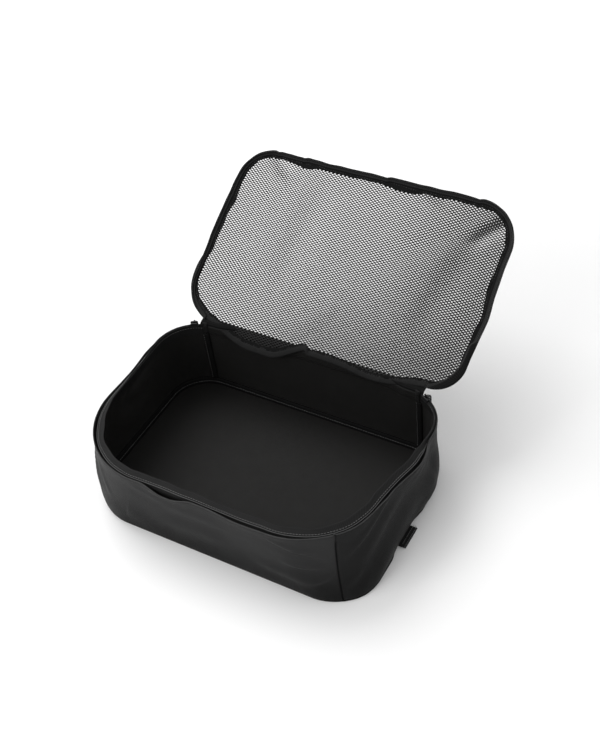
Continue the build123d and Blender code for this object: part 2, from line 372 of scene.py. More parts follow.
def hard_material(name, colour, roughness, metallic, grain_scale):
    """Painted metal or moulded rubber with a fine grain."""
    material, nodes, links, shader = node_material(name, colour, roughness, 0.0, 0.5, metallic)
    position = add(nodes, "ShaderNodeTexCoord").outputs["Object"]
    grain = add(nodes, "ShaderNodeTexNoise", Scale=grain_scale, Detail=5.0, Roughness=0.65)
    links.new(position, grain.inputs["Vector"])
    gloss = add(nodes, "ShaderNodeMapRange", To_Min=roughness - 0.1, To_Max=roughness + 0.15)
    links.new(grain.outputs["Fac"], gloss.inputs["Value"])
    links.new(gloss.outputs["Result"], shader.inputs["Roughness"])
    tone = add(nodes, "ShaderNodeMapRange", To_Min=0.75, To_Max=1.3)
    links.new(grain.outputs["Fac"], tone.inputs["Value"])
    tint = add(nodes, "ShaderNodeVectorMath", operation="SCALE")
    tint.inputs[0].default_value = colour
    links.new(tone.outputs["Result"], tint.inputs["Scale"])
    links.new(tint.outputs["Vector"], shader.inputs["Base Color"])
    relief = add(nodes, "ShaderNodeBump", Strength=0.2, Distance=0.0002)
    links.new(grain.outputs["Fac"], relief.inputs["Height"])
    links.new(relief.outputs["Normal"], shader.inputs["Normal"])
    return material


# The wall cloths take painted shade at their feet through foot_shade
wall_cloth = cloth_material("wall cloth", (0.023, 0.023, 0.0232), roughness=0.5, specular=0.09,
                            foot_shade=0.02, contrast=0.2, mottle=0.15)
# A darker copy of the wall cloth: painted shade on the right wall
shaded_side_cloth = cloth_material("shaded side wall cloth", (0.011, 0.011, 0.0111), roughness=0.5, specular=0.085,
                            foot_shade=0.3)
edge_cloth = cloth_material("folded edge cloth", grey(0.018), roughness=0.45, specular=0.35)
# A light grey cloth for the cord along the tape: a painted highlight of the tape's fold
fold_highlight_cloth = cloth_material("fold highlight cloth", grey(0.085), roughness=0.5, pitch=0.5, twill=True, specular=0.3)
lining_cloth = cloth_material("lining cloth", (0.0065, 0.0062, 0.0058), sheen=0.02, pitch=0.4, specular=0.2)
binding_cloth = cloth_material("binding cloth", grey(0.005), roughness=0.7, pitch=0.9, twill=True, mottle=0.9,
                               mottle_scale=110.0, specular=0.05)
# A lighter copy of the binding cloth: painted light on the binding along the hinge
lit_back_binding_cloth = cloth_material("lit back binding cloth", grey(0.0105), roughness=0.65, pitch=0.9, twill=True,
                                    mottle=0.7, mottle_scale=110.0, specular=0.08)
tape_cloth = cloth_material("zip tape cloth", grey(0.0075), pitch=1.8, twill=True, bump=0.8, specular=0.15,
                            contrast=1.1)
webbing_cloth = cloth_material("webbing", grey(0.004), roughness=0.65, sheen=0.02, pitch=1.1, bump=0.5,
                               specular=0.25)
net_yarn = cloth_material("net yarn", grey(0.007), roughness=0.55, sheen=0.03, pitch=0.3, mottle=0.15,
                          specular=0.3)
# The thread's light grey is partly its own colour and partly a painted highlight on the stitches; the lid's
# thread is darker
thread = cloth_material("thread", grey(0.14), roughness=0.5, sheen=0.1, pitch=0.25, from_object=True,
                        mottle=0.1)
lid_thread = cloth_material("lid thread", grey(0.028), roughness=0.5, pitch=0.25, from_object=True,
                            mottle=0.1)
coil_plastic = hard_material("coil plastic", grey(0.012), 0.4, 0.0, 900.0)
slider_metal = hard_material("slider metal", (0.012, 0.012, 0.0125), 0.42, 0.35, 1400.0)
grip_rubber = hard_material("grip rubber", grey(0.014), 0.55, 0.0, 1800.0)


# Tray

def rigid_piece(piece, slot, *nodes, body="tray"):
    """The piece moves with one body."""
    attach(piece, body)
    if nodes:
        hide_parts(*nodes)
    return piece


def side_push(t, xy):
    """How far the soft rim bows out of its plan. The bows fade before the sliders' way."""
    x, y = xy[..., 0], xy[..., 1]
    right = (5.0 * bell(y, 32, 24) - 6.0 * bell(y, -36, 34)) * (1 - smooth(44, 63, y))
    right = right * smooth(1.35, 1.7, t) * (1 - smooth(2.99, 3.0, t))
    front = 0.9 * ripple(x, 120, 4) * smooth(-110, -60, x) * (1 - smooth(60, 110, x)) * (y < -60)
    left = 1.2 * bell(y, -22, 30) * (x < -100)
    left = left - 2.0 * smooth(62, 0, y) * np.cos(np.clip(t - 7, 0, 1) * math.pi / 2) * (t > 5.9)
    back = 6.5 * (1 - smooth(88, 128, np.abs(x))) * (y > 110)
    return right + front + left + back


def foot_push(t, xy, z):
    """How far the right wall stands out below the pulls' way. Its foot stays in behind the side tab."""
    y = xy[..., 1]
    at_tab = smooth(-40, -20, y) * (1 - smooth(13, 40, y)) * (1 - smooth(7, 16, z))
    low = 3.8 * smooth(-124, -86, y) * (1 - smooth(40, 75, y)) * (1 - smooth(10, 64, z)) * (1 - at_tab)
    belly = 8.0 * bell(y, 51, 31) * smooth(0, 30, z) * (1 - smooth(38, 63, z))
    return (low + belly) * (t > 1) * (t < 3.7)


def flap_gap(x, y):
    """How far the turned-over top edge of the wall hangs away from the zip tape: out and down."""
    front = y < -60
    lens = smooth(-75, -44, x) * (1 - smooth(-36, -6, x))
    wedge = smooth(8, 50, x) * (1 - smooth(92, 140, x))
    out = front * (3.4 * lens + 1.6 * wedge)
    drop = front * (5.6 * lens + 0.7 * wedge)
    side = (x > 120) * (y > -80) * (y < 75)
    out = out + side * (1.6 * bell(y, 10, 40))
    drop = drop + side * (1.5 * bell(y, 30, 30))
    out = out + (x < -120) * (y < 40) * 1.2 * bell(y, -60, 40)
    return out, drop


def fold(s, z, start, end, width, height, arch):
    """One long crease in the cloth, from start to end in (s, z), deepest in its middle."""
    ds, dz = end[0] - start[0], end[1] - start[1]
    length = math.hypot(ds, dz)
    along = ((s - start[0]) * ds + (z - start[1]) * dz) / length**2
    across = ((z - start[1]) * ds - (s - start[0]) * dz) / length - arch * (1 - (2 * along - 1) ** 2)
    strength = smooth(-0.05, 0.35, along) * (1 - smooth(0.65, 1.05, along))
    ridge = bell(across, 0, width) - 0.55 * bell(across, -1.9 * width, 1.3 * width)
    return height * strength * ridge


# Creases in the wall cloth as (start, end, width, height, arch). Their ends are (s, z), and s runs along the
# wall from the front right seam.
DRAG_FOLDS = (
    ((-78, 86), (-8, 64), 3.4, 2.1, 1.5),
    ((-72, 57), (-9, 55), 3.8, 2.2, -1.0),
    ((-46, 31), (-3, 47), 4.0, 1.7, -3.0),
    ((-110, 38), (-30, 32), 7.5, 1.4, 1.0),
    ((-60, 74), (-14, 73), 2.6, 0.9, 2.0),
    ((-240, 86), (-186, 73), 4.0, 0.7, -1.5),
    ((-200, 68), (-118, 72), 6.0, 1.3, 2.0),
    ((-210, 40), (-120, 50), 13.0, 1.8, 3.0),
    ((-290, 36), (-215, 30), 12.0, 1.5, 2.0),
    ((4, 60), (92, 95), 4.4, 1.8, 2.5),
    ((10, 36), (140, 88), 9.0, 1.7, 4.0),
    ((50, 8), (200, 66), 15.0, 1.9, 5.0),
    ((2, 22), (44, 42), 6.0, 0.9, 1.0),
    ((120, 76), (200, 90), 5.0, 1.1, -2.0),
)
# The same for the front left corner, where s runs from the corner's middle, at this t
FRONT_LEFT = 7.5
CORNER_FOLDS = (
    ((-22, 84), (-2, 22), 3.2, 1.6, 2.0),
    ((-36, 84), (-20, 16), 3.6, 1.7, 1.0),
    ((-8, 83), (18, 30), 3.0, 1.3, 2.0),
    ((-54, 82), (-42, 20), 4.0, 1.3, -1.0),
    ((10, 84), (44, 40), 4.0, 1.0, 2.0),
    ((-168, 90), (-92, 58), 8.0, 3.0, 5.0),
    ((-150, 46), (-84, 66), 9.0, 2.2, -4.0),
)


def tray_point(t, z, inset=0.0, creased=True):
    """Points of the walls at heights z, moved in from their outer face, and the directions outwards. t may
    run past 8 for the same wall."""
    t, z = np.broadcast_arrays(np.asarray(t, float), np.asarray(z, float))
    once = np.mod(t, 8)
    run = rim_run(once)
    rise = np.clip(z / RIM_Z, 0, 1.12)
    lag = 0.05 * rise * bell(once, FRONT_SEAM, 0.45)
    rim, out = plan(t + lag, **RIM)
    foot, _ = plan(t, **FOOT)
    xy = foot + (rim - foot) * rise[..., None]
    push = side_push(once, rim) * rise**1.5
    middle = np.sin(math.pi * np.clip(rise, 0, 1))
    quiet = smooth(63, 48, xy[..., 1])
    push = push + middle * (1.4 + 1.2 * ripple(run, 150, 11)) * quiet
    push = push + foot_push(once, foot, z)
    push = push - 2.2 * (1 - np.clip(z / 6.0, 0, 1)) ** 2 - 2.2 * (1 - np.clip(z / 28.0, 0, 1)) ** 2
    if creased:
        for crease in DRAG_FOLDS:
            push = push + fold(run - rim_run(FRONT_SEAM), z, *crease) * quiet
        for crease in CORNER_FOLDS:
            push = push + fold(run - rim_run(FRONT_LEFT), z, *crease)
        for seam in (FRONT_SEAM, BACK_RIGHT_SEAM, BACK_LEFT_SEAM):
            push = push - 2.0 * bell(run, rim_run(seam), 1.1)
    xy = xy + out * (push - inset)[..., None]
    return np.concatenate([xy, z[..., None]], -1), out


def wall(name, start, stop, top, flap, cloth, node):
    """A wall with its top edge turned over inside. With a flap, that edge hangs away from the zip tape."""
    t, _ = stations(start, stop, STEP, RIM)
    low = [1.1, 1.6, 2.4, 3.6, 5.4, 7.6]
    z = np.concatenate([low, np.linspace(10, top - 14, 24), np.linspace(top - 12, top, 10)])
    turned = np.linspace(top, top - 11, 8)
    faces = (
        ("out", z, 0.0),
        ("turned", turned, 1.4),
        ("under", turned[::-1][1:], 2.2),
        ("in", z[::-1][10:], FABRIC),
    )
    grid = []
    for face, heights, inset in faces:
        points, out = tray_point(t[:, None], heights[None, :], inset)
        if flap and face != "in":
            gap, drop = flap_gap(points[..., 0], points[..., 1])
            lift = smooth(top - 16, top, heights)[None, :]
            points[..., :2] += out * (gap * lift**1.6 + 0.9 * lift)[..., None]
            points[..., 2] -= drop * lift**1.2
        grid.append(points)
    # The end caps need an even number of columns, so one closes the ring
    grid.append(grid[-1][:, -1:] * 0.5 + grid[0][:, :1] * 0.5)
    grid = np.concatenate(grid, 1)
    lining = (len(z) + len(turned), grid.shape[1] - 1)
    return rigid_piece(swept(name, grid, materials=[cloth, lining_cloth], second=lining), "wall_fabric", node)


front_left_wall = wall(
    "front_left_wall", BACK_LEFT_SEAM, 8 + FRONT_SEAM, RIM_Z, True, wall_cloth, "front_left_gusset"
)
# The right wall takes the darker copy of the wall cloth, as painted shade
right_wall = wall("right_wall", FRONT_SEAM, BACK_RIGHT_SEAM, RIM_Z, True, shaded_side_cloth, "right_gusset")
back_wall = wall("back_wall", BACK_RIGHT_SEAM, BACK_LEFT_SEAM, BACK_WALL_Z, False, wall_cloth, "back_gusset")


def tube_along(name, centre, across, up, half_width, half_height, material, sides=10, loop=False):
    """A flattened tube along a line of points."""
    angles = np.linspace(0, TURN, sides, endpoint=False)
    ring_a = np.cos(angles)[None, :, None] * across[:, None, :]
    ring_b = np.sin(angles)[None, :, None] * up[:, None, :]
    half_width = np.broadcast_to(half_width, len(centre))[:, None, None]
    half_height = np.broadcast_to(half_height, len(centre))[:, None, None]
    grid = centre[:, None, :] + ring_a * half_width + ring_b * half_height
    return swept(name, grid, loop, [material])


# The rolled edge of the flap
t, run = stations(BACK_LEFT_SEAM, 8 + BACK_RIGHT_SEAM, STEP, RIM)
points, out = tray_point(t, RIM_Z)
gap, drop = flap_gap(points[:, 0], points[:, 1])
edge = points + flat3(out) * (gap + 0.4)[:, None]
edge[:, 2] += 0.3 - drop
size = 0.62 + 0.1 * ripple(run, 14, 21)
rim_fold = tube_along("rim_fold", edge, flat3(out), upward(len(t)), size, size * 1.1, edge_cloth)
rigid_piece(rim_fold, "wall_fabric", "rim_hem")

# The hem on the back wall
t, _ = stations(BACK_RIGHT_SEAM, BACK_LEFT_SEAM, STEP, RIM)
points, out = tray_point(t, BACK_WALL_Z + 1.6)
points[:, :2] -= out * 0.8
back_fold = tube_along("back_fold", points, flat3(out), upward(len(t)), 1.1, 1.9, binding_cloth)
rigid_piece(back_fold, "wall_fabric", "back_hem")


# Lower zip tape and coil

TAPE_TOP = 97.0
TAPE_LOW = 80.0


def track(t):
    """1 where the sliders run, round the back corners, and 0 along the front and most of the sides."""
    return smooth(35, 66, plan(t, **RIM)[0][..., 1])


def tape_lean(t):
    """How far the tape's top leans in: not at all where the sliders run."""
    x, y = np.moveaxis(plan(t, **RIM)[0], -1, 0)
    on_left = 1 - (x < -100) * 0.6 * smooth(-50, 25, y)
    return 8.5 * on_left * (1 - track(t)) * (1 + 0.15 * ripple(rim_run(np.mod(t, 8)), 60, 31))


def tape_point(t, z, inset):
    """Points on the lower tape, which stands on the wall's inner face and leans in above the flap."""
    t, z = np.asarray(t, float), np.asarray(z, float)
    points, out = tray_point(t, z, inset, creased=False)
    lean = tape_lean(t) * (0.15 * smooth(88, RIM_Z, z) + 0.85 * np.clip((z - 92.6) / (TAPE_TOP - 92.6), 0, 1))
    points[..., :2] -= out * np.broadcast_to(lean, points.shape[:-1])[..., None]
    points[..., 2] -= 1.5 * track(t) * smooth(92, TAPE_TOP, z)
    return points, out


ZIP_START = BACK_LEFT_SEAM + 0.03
ZIP_STOP = 8 + BACK_RIGHT_SEAM - 0.03
t, _ = stations(ZIP_START, ZIP_STOP, STEP, RIM)
z = np.linspace(TAPE_LOW, TAPE_TOP, 32)
raised = (0.5 * bell(z, TAPE_TOP - 0.4, 0.5))[None, :] * (1 - track(t))[:, None]
outer = tape_point(t[:, None], z[None, :], 1.3 - raised)[0]
inner = tape_point(t[:, None], z[None, ::-1], 1.9)[0]
lower_tape = swept("lower_tape", np.concatenate([outer, inner], 1), materials=[tape_cloth])
rigid_piece(lower_tape, "zip_tape", "zip_tape_lower")

COIL_PITCH = 1.6
COIL_WIRE = 0.26


def coil(name, place, start, stop):
    """A zip's coil as one bent wire. place gives points from t, the distance off the tape and the height."""
    t, run = stations(start, stop, COIL_PITCH / 8, RIM)
    phase = TURN * run / COIL_PITCH
    line = place(t, 0.75 + 0.5 * np.cos(phase), 0.55 * np.sin(phase))
    ahead = np.gradient(line, axis=0)
    ahead /= np.linalg.norm(ahead, axis=1)[:, None]
    side = np.cross(ahead, upward(len(t)))
    side /= np.linalg.norm(side, axis=1)[:, None]
    return tube_along(name, line, side, np.cross(side, ahead), COIL_WIRE, COIL_WIRE, coil_plastic, sides=5)


def lower_coil_place(t, off, high):
    return tape_point(t, 95.7 + high, 1.85 + off)[0]


lower_coil = coil("lower_coil", lower_coil_place, ZIP_START + 0.05, ZIP_STOP - 0.05)
rigid_piece(lower_coil, "zip_coil", "zip_coil_lower")

# Stitching and a light grey cord on the tape above the flap, the cord a painted highlight along the tape's
# fold, and the stitching's other side
t, _ = stations(ZIP_START, ZIP_STOP, STEP, RIM)
line, out = tape_point(t, 93.9 - 2.7 * track(t), 1.0)
rim_stitches = rigid_piece(stitches("rim_stitches", line, flat3(out), thread, radius=0.26), None)
line, out = tape_point(t, 92.9 - 2.1 * track(t), 0.85)
thick = 0.3 - 0.1 * track(t)
tape_fold_highlight = tube_along("tape_fold_highlight", line, flat3(out), upward(len(t)), thick, thick, fold_highlight_cloth, sides=8)
rigid_piece(tape_fold_highlight, None)
line, out = tape_point(t, 90.0, 2.0)
inner_stitches = rigid_piece(stitches("tape_stitches_inside", line, -flat3(out), thread), None)


# Zip ends: folded tabs inside the back wall

END_ANGLE = 77.7
for name, node, middle in (
    ("zip_end_right", "zip_stop_right", back_right(END_ANGLE)),
    ("zip_end_left", "zip_stop_left", back_left(END_ANGLE)),
):
    q = np.linspace(-1, 1, 9)
    t = (middle + 0.04 * q)[:, None]
    z = np.linspace(84.5, 98.8, 14)
    swell = np.sqrt(1 - (4 * q / 4.6) ** 2)[:, None]
    taper = (1 - 0.6 * smooth(94, 98.5, z))[None, ::-1]
    outer = tray_point(t, z[None, :], 1.3, creased=False)[0]
    inner = tray_point(t, z[None, ::-1], 1.5 + 2.4 * swell * taper, creased=False)[0]
    rigid_piece(swept(name, np.concatenate([outer, inner], 1), materials=[tape_cloth]), "zip_tape", node)


# Base, and the tapes over its seam and the walls' seams

def base_height(x, y):
    """The floor panel's gentle unevenness."""
    return 0.9 + 0.5 * ripple(x + 0.3 * y, 140, 51) * ripple(y - 0.2 * x, 110, 52)


rings = np.concatenate([np.linspace(0.0, 0.94, 26), np.linspace(0.955, 1.0, 5)])
t = np.linspace(0, 8, 240, endpoint=False)
edge, out = plan(t, **FOOT)
edge = edge + out * (foot_push(t, edge, 1.8) - 2.6)[:, None]
points, faces = [], []
for side in (1, -1):
    for share in rings:
        xy = edge * share
        rounded = math.sqrt(max(0.0, 1 - max(0.0, (share - 0.97) / 0.03) ** 2))
        z = 0.8 + side * 0.7 * rounded + np.zeros(len(t))
        if side > 0:
            z += np.maximum(0, base_height(xy[:, 0], xy[:, 1])) * (1 - share**6)
        points.append(np.concatenate([xy, z[:, None]], 1))
points = np.concatenate(points)
count, layers = len(t), len(rings)
for i in range(count):
    k = (i + 1) % count
    for layer in range(2):
        for ring in range(layers - 1):
            a = (layer * layers + ring) * count
            quad = (a + i, a + k, a + count + k, a + count + i)
            faces.append(quad[::-1] if layer == 0 else quad)
    a = (layers - 1) * count
    b = a + layers * count
    faces.append((b + i, b + k, a + k, a + i))
base_sheet = make_object("base_sheet", points, faces, points[:, :2], [lining_cloth])
rigid_piece(base_sheet, "lining_fabric", "base_panel")

t = stations(0, 8, 2.5, FOOT)[0][:-1]
z = np.linspace(1.8, 9.6, 8)
outer = tray_point(t[:, None], z[None, :], 1.3, creased=False)[0]
depth = 3.1 + 0.5 * np.sin(np.linspace(0, math.pi, len(z)))
inner = tray_point(t[:, None], z[None, ::-1], depth[None, :], creased=False)[0]
base_tape = swept("base_tape", np.concatenate([outer, inner], 1), True, [binding_cloth])
rigid_piece(base_tape, "binding_tape", "base_binding")
line, out = tray_point(np.append(t, t[0]), 5.2, 3.7, creased=False)
base_stitches = rigid_piece(stitches("base_stitches", line, -flat3(out), thread), None)

for name, seam, node in (
    ("seam_tape_front_right", FRONT_SEAM, "front_right_seam_binding"),
    ("seam_tape_back_right", BACK_RIGHT_SEAM, "back_right_seam_binding"),
    ("seam_tape_back_left", BACK_LEFT_SEAM, "back_left_seam_binding"),
):
    z = np.linspace(9.8, 82.5, 30)
    q = np.linspace(-1, 1, 9)
    t = seam + q * 0.055
    outer = tray_point(t[None, :], z[:, None], 1.3, creased=False)[0]
    swell = 1.0 + 1.3 * (1 - q[::-1] ** 2) ** 0.5
    inner = tray_point(t[None, ::-1], z[:, None], 1.4 + swell[None, :], creased=False)[0]
    tape = swept(name, np.concatenate([outer, inner], 1), materials=[binding_cloth])
    rigid_piece(tape, "binding_tape", node)
    line, out = tray_point(np.full(60, seam + 0.03), np.linspace(10.5, 82, 60), 3.35, creased=False)
    rigid_piece(stitches(name + "_stitches", line, -flat3(out), thread), None)


# Lid

# Where the binding along the front edge is puckered
PINCHES = (-143, -103, 10, 127)


def lid_edge(t):
    """The lid's outline when closed, with its soft waves."""
    xy, out = plan(t, **LID)
    x, y = xy[..., 0], xy[..., 1]
    along = lid_run(np.mod(t, 8))
    push = 0.5 * ripple(along, 60, 61) * smooth(112, 90, y)
    push = push - 2.2 * (1 - smooth(-40, 55, x)) * smooth(-70, -108, y)
    push = push - 0.9 * bell(y, -38, 20) * (x < -150)
    for place in PINCHES:
        push = push + (y < -60) * (0.5 * bell(x, place + 6, 4.5) - 0.75 * bell(x, place, 2.6))
    return xy + out * push[..., None], out


# Creases of the net as (start, end, width, height, arch) in the closed lid's plan
LID_CREASES = (
    ((182, -114), (108, -62), 6.0, -2.6, 2.0),
    ((170, -104), (20, 10), 14.0, 3.2, 4.0),
    ((20, -113), (75, -84), 5.0, 1.8, -2.0),
    ((-20, -112), (40, -60), 9.0, -1.3, 3.0),
    ((-168, -100), (-110, -40), 7.0, 1.5, 2.0),
    ((-150, -112), (-96, -20), 8.0, -1.6, 3.0),
    ((-120, -112), (-40, 10), 14.0, 1.5, 3.0),
    ((150, 96), (96, -30), 14.0, -2.2, 4.0),
    ((-30, 112), (0, 0), 14.0, 1.6, 4.0),
)


def lid_height(x, y):
    """How far the slack lid lies above its plane when closed. Below it is towards the tray."""
    across = np.cos(np.clip(x / 190, -1, 1) * math.pi / 2)
    sag = -3.0 * across * np.sin(np.clip((116 - y) / 236, 0, 1) * math.pi)
    twist = 2.2 * bell(x, -183, 60) * bell(y, -14, 54) - 2.0 * bell(x, 183, 50) * bell(y, 6, 46)
    twist = twist * smooth(62, 40, y)
    inner = smooth(176, 160, np.abs(x)) * smooth(-108, -94, y) * smooth(112, 96, y)
    creases = 0
    for crease in LID_CREASES:
        creases = creases + fold(x, y, *crease)
    return -(sag + twist) + creases * inner


def hinge_slack(x):
    """How far the lid's slack edge hangs below the back wall's top, in two bellies."""
    left = 22.0 * smooth(-158, -76, x) * (1 - smooth(-52, 2, x))
    right = (6.0 + 5.0 * bell(x, 80, 30)) * smooth(-8, -2, x) * (1 - smooth(104, 146, x))
    return left + right


# At rest: the way the slack edge hangs, and the outside of the hanging part and of the lid
HANG = np.array([0.0, -0.6, -0.8])
HANG_OUT = np.array([0.0, 0.8, -0.6])
LID_OUT = np.array([0.0, math.sin(OPEN_ANGLE), math.cos(OPEN_ANGLE)])


def lid_warp(x, y):
    """How far the soft lid is drawn to the right, mostly at its left side."""
    left = smooth(-50, -165, x) * (4.4 * smooth(60, 30, y) + 3.2 * smooth(-45, -95, y))
    return left + 2.6 * bell(y, 24, 22) * smooth(120, 175, x)


def lid_point(xy, height, cut=False):
    """Closed plan points and heights off the lid's middle, at rest. The slack hangs over the back wall's top.
    Where cut is set, the points are places on the net's cut, whose slack lies beyond the plan's back edge."""
    x, y = xy[..., 0], xy[..., 1]
    slack = hinge_slack(x)
    if not cut:
        y = y + slack * smooth(88, 108, y)
    run = LID["back"] - y
    bend = np.minimum(5.0, 0.4 * slack)
    on_lid = 0.5 * (run + np.sqrt(run**2 + bend**2))
    below = (on_lid - run) * smooth(0.0, 3.0, slack)
    parts = x + lid_warp(x, y), LID["back"] - run - below, LID_Z + lid_height(x, y)
    flat = np.stack(np.broadcast_arrays(*parts), -1)
    turn = smooth(0.0, 7.0, below)[..., None]
    outside = LID_OUT * (1 - turn) + HANG_OUT * turn
    outside = outside / np.linalg.norm(outside, axis=-1, keepdims=True)
    pleat = 1.4 * smooth(-10, -5, x) * (1 - smooth(-4.5, -2, x)) * smooth(90, 112, y)
    return opened(flat) + HANG * below[..., None] + outside * (height - pleat)[..., None]


def border_width(t):
    """How wide the binding looks: most along the hinge and where the lid's sides are bent."""
    t = np.mod(t, 8)
    x, y = np.moveaxis(plan(t, **LID)[0], -1, 0)
    back = smooth(100, 116, y)
    front = smooth(-90, -112, y)
    belly = smooth(-160, -120, x) * (1 - smooth(-30, -5, x))
    right = (x > 150) * (0.9 * smooth(-100, -80, y) * smooth(90, 60, y) + 2.6 * bell(y, -16, 16))
    left = (x < -150) * 1.6 * bell(y, -36, 18)
    wide = 7.8 + 0.3 * front + back * (0.6 + 1.4 * belly) + right + left
    return wide + 0.9 * ripple(lid_run(t), 46, 71) * (1 - 0.6 * back)


def border_section(t, q, lift):
    """Lid points across the binding: q runs from -1 at the mesh to 1 at the edge, lift is off its middle."""
    edge, out = lid_edge(t)
    inset = border_width(t) * (1 - q) / 2
    return lid_point(edge - out * inset[..., None], lift)


# Where the binding is sewn down, on its scale of q
SEWN = -0.62
t = stations(0, 8, 1.3, LID)[0][:-1]
angle = np.linspace(0, TURN, 28, endpoint=False)
q = np.sign(np.cos(angle)) * np.abs(np.cos(angle)) ** 0.55
lift = np.sign(np.sin(angle)) * np.abs(np.sin(angle)) ** 0.7
along = lid_run(t)
puff = 1.4 + 0.25 * ripple(along, 17, 81) + 0.17 * ripple(along, 7, 82)
x, y = plan(t, **LID)[0].T
for place in PINCHES:
    puff = puff * (1 - 0.5 * (y < -60) * bell(x, place, 1.8))
groove = 1 - 0.45 * bell(q, SEWN, 0.13)
heights = puff[:, None] * (lift * groove)[None, :]
border = border_section(*np.broadcast_arrays(t[:, None], q[None, :], heights))
# The binding along the hinge takes the lighter copy, as painted light
lid_binding = swept("lid_binding", border, True, [binding_cloth, lit_back_binding_cloth])
lid_binding.data.polygons.foreach_set("material_index", np.repeat(y > 103, len(angle)).astype(int))


def lid_piece(piece, slot, *nodes):
    """The piece's transform is baked into its points, and the CAD parts it stands for are hidden."""
    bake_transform(piece)
    if nodes:
        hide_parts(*nodes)
    return piece


lid_piece(lid_binding, "binding_tape", "lid_border")
for name, side in (("lid_stitches_outside", 1), ("lid_stitches_inside", -1)):
    whole = np.append(t, t[0])
    line = border_section(whole, np.full(len(whole), SEWN), np.append(puff, puff[0]) * 0.58 * side)
    lid_piece(stitches(name, line, np.tile(LID_OUT * side, (len(line), 1)), lid_thread), None)


# Upper zip tape: it lies on the inner face of the binding, and its outer edge is turned towards the tray

def upper_section(t, inset, height):
    """Points of the upper tape. Its lip meets the lower tape where the sliders run."""
    edge, out = lid_edge(t)
    line, _ = plan(t, **TRACK)
    share = smooth(36, 60, line[..., 1]) * smooth(-1.8, -2.3, height)
    edge = edge * (1 - share)[..., None] + (line - 1.2 * out) * share[..., None]
    return lid_point(edge - out * np.asarray(inset)[..., None], height)


# How far round the back corners the tape, its turned lip and the coil go, in degrees
TAPE_ANGLE = 74
LIP_ANGLE = 53
COIL_ANGLE = 50
# Below this height the tape is lip
LIP_FROM = -2.2
t, run = stations(back_left(TAPE_ANGLE), 8 + back_right(TAPE_ANGLE), STEP, LID)
# The tape's section, as (inset, height)
flat_insets = np.linspace(4.6, 0.8, 5)
top_side = [(i, -1.55) for i in flat_insets] + [(0.1, -1.7), (0.0, -2.35), (0.05, -3.4), (0.1, -4.5)]
under_side = [(0.65, -4.5), (0.65, -3.4), (0.65, -2.5), (0.95, -2.25)]
under_side += [(i, -2.15) for i in flat_insets[::-1]]
section = np.array(top_side + under_side)
lip_here = smooth(0.0, 0.25, np.minimum(t - back_left(LIP_ANGLE), 8 + back_right(LIP_ANGLE) - t) + 0.2)
heights = section[None, :, 1] * np.ones((len(t), 1))
heights = np.where(heights < LIP_FROM, LIP_FROM + (heights - LIP_FROM) * lip_here[:, None], heights)
sway = 0.35 * ripple(run, 38, 91) * smooth(58, 36, plan(t, **TRACK)[0][:, 1])
insets = section[None, :, 0] + sway[:, None] * (section[None, :, 1] < -2.3)
grid = upper_section(np.broadcast_to(t[:, None], heights.shape), insets, heights)
upper_tape = lid_piece(swept("upper_tape", grid, materials=[tape_cloth]), "zip_tape", "zip_tape_upper")


def upper_coil_place(t, off, high):
    return upper_section(t, 0.65 + off, -4.05 + high)


upper_coil = coil("upper_coil", upper_coil_place, back_left(COIL_ANGLE), 8 + back_right(COIL_ANGLE))
lid_piece(upper_coil, "zip_coil", "zip_coil_upper")


# The narrow tape over the mesh's cut edge

NET_TAPE_UNDER = 3.4
t = stations(0, 8, STEP, LID)[0][:-1]
edge, out = lid_edge(t)
inner_edge = border_width(t) + 0.7 + 0.4 * ripple(lid_run(t), 33, 95)
droop = (edge[:, 1] < -100) * (3.2 * bell(edge[:, 0], -98, 17) + 4.2 * bell(edge[:, 0], 30, 20))
q = np.linspace(0, 1, 6)
across = np.concatenate([q, q[::-1]])
insets = inner_edge[:, None] - NET_TAPE_UNDER + across[None, :] * (NET_TAPE_UNDER + droop[:, None])
heights = np.broadcast_to(np.repeat([-0.5, -1.1], len(q))[None, :], insets.shape)
grid = lid_point(edge[:, None, :] - out[:, None, :] * insets[..., None], heights)
net_tape = lid_piece(swept("net_tape", grid, True, [binding_cloth]), "binding_tape", "lid_seam_binding")


# The knitted net of the lid, with real holes

# The pitch across and along its columns, each hole's share of its lozenge, and how far the knots stand out
COLUMN = 2.7
IN_COLUMN = 3.4
HOLE_SHARE = 0.345
RIDGE = 0.26
# How far the cut reaches from the lid's middle, slack included
NET_REACH = 145
# Where the net is bunched and its holes close, as (start, end, width, share, arch)
BUNCHES = (
    ((178, -110), (124, -54), 6.5, 0.6, 1.0),
    ((140, -80), (100, 76), 14.0, 0.19, 7.0),
    ((-70, -100), (-84, 70), 15.0, 0.11, 6.0),
    ((-158, -108), (-112, -74), 6.0, 0.26, 3.0),
    ((22, -108), (92, -92), 6.0, 0.3, -4.0),
    ((-30, 112), (20, 40), 10.0, 0.09, 3.0),
)


def openness(x, y):
    """The size of the net's holes: smaller towards the right and in the bunches."""
    bunched = 0.36 * float(smooth(20, 165, x))
    for bunch in BUNCHES:
        bunched += float(fold(x, y, *bunch))
    return min(1.12, max(0.2, 1 - bunched))


def inside_lid(x, y, inset):
    """Whether a closed plan point lies inside the lid's outline, moved in."""
    radii = LID["radii"]
    if y < 0:
        radius = radii[0] if x > 0 else radii[3]
    else:
        radius = radii[1] if x > 0 else radii[2]
    radius -= inset
    dx = max(0.0, x - (LID["right"] - inset - radius), LID["left"] + inset + radius - x)
    dy = max(0.0, y - (LID["back"] - inset - radius), LID["front"] + inset + radius - y)
    return math.hypot(dx, dy) < radius


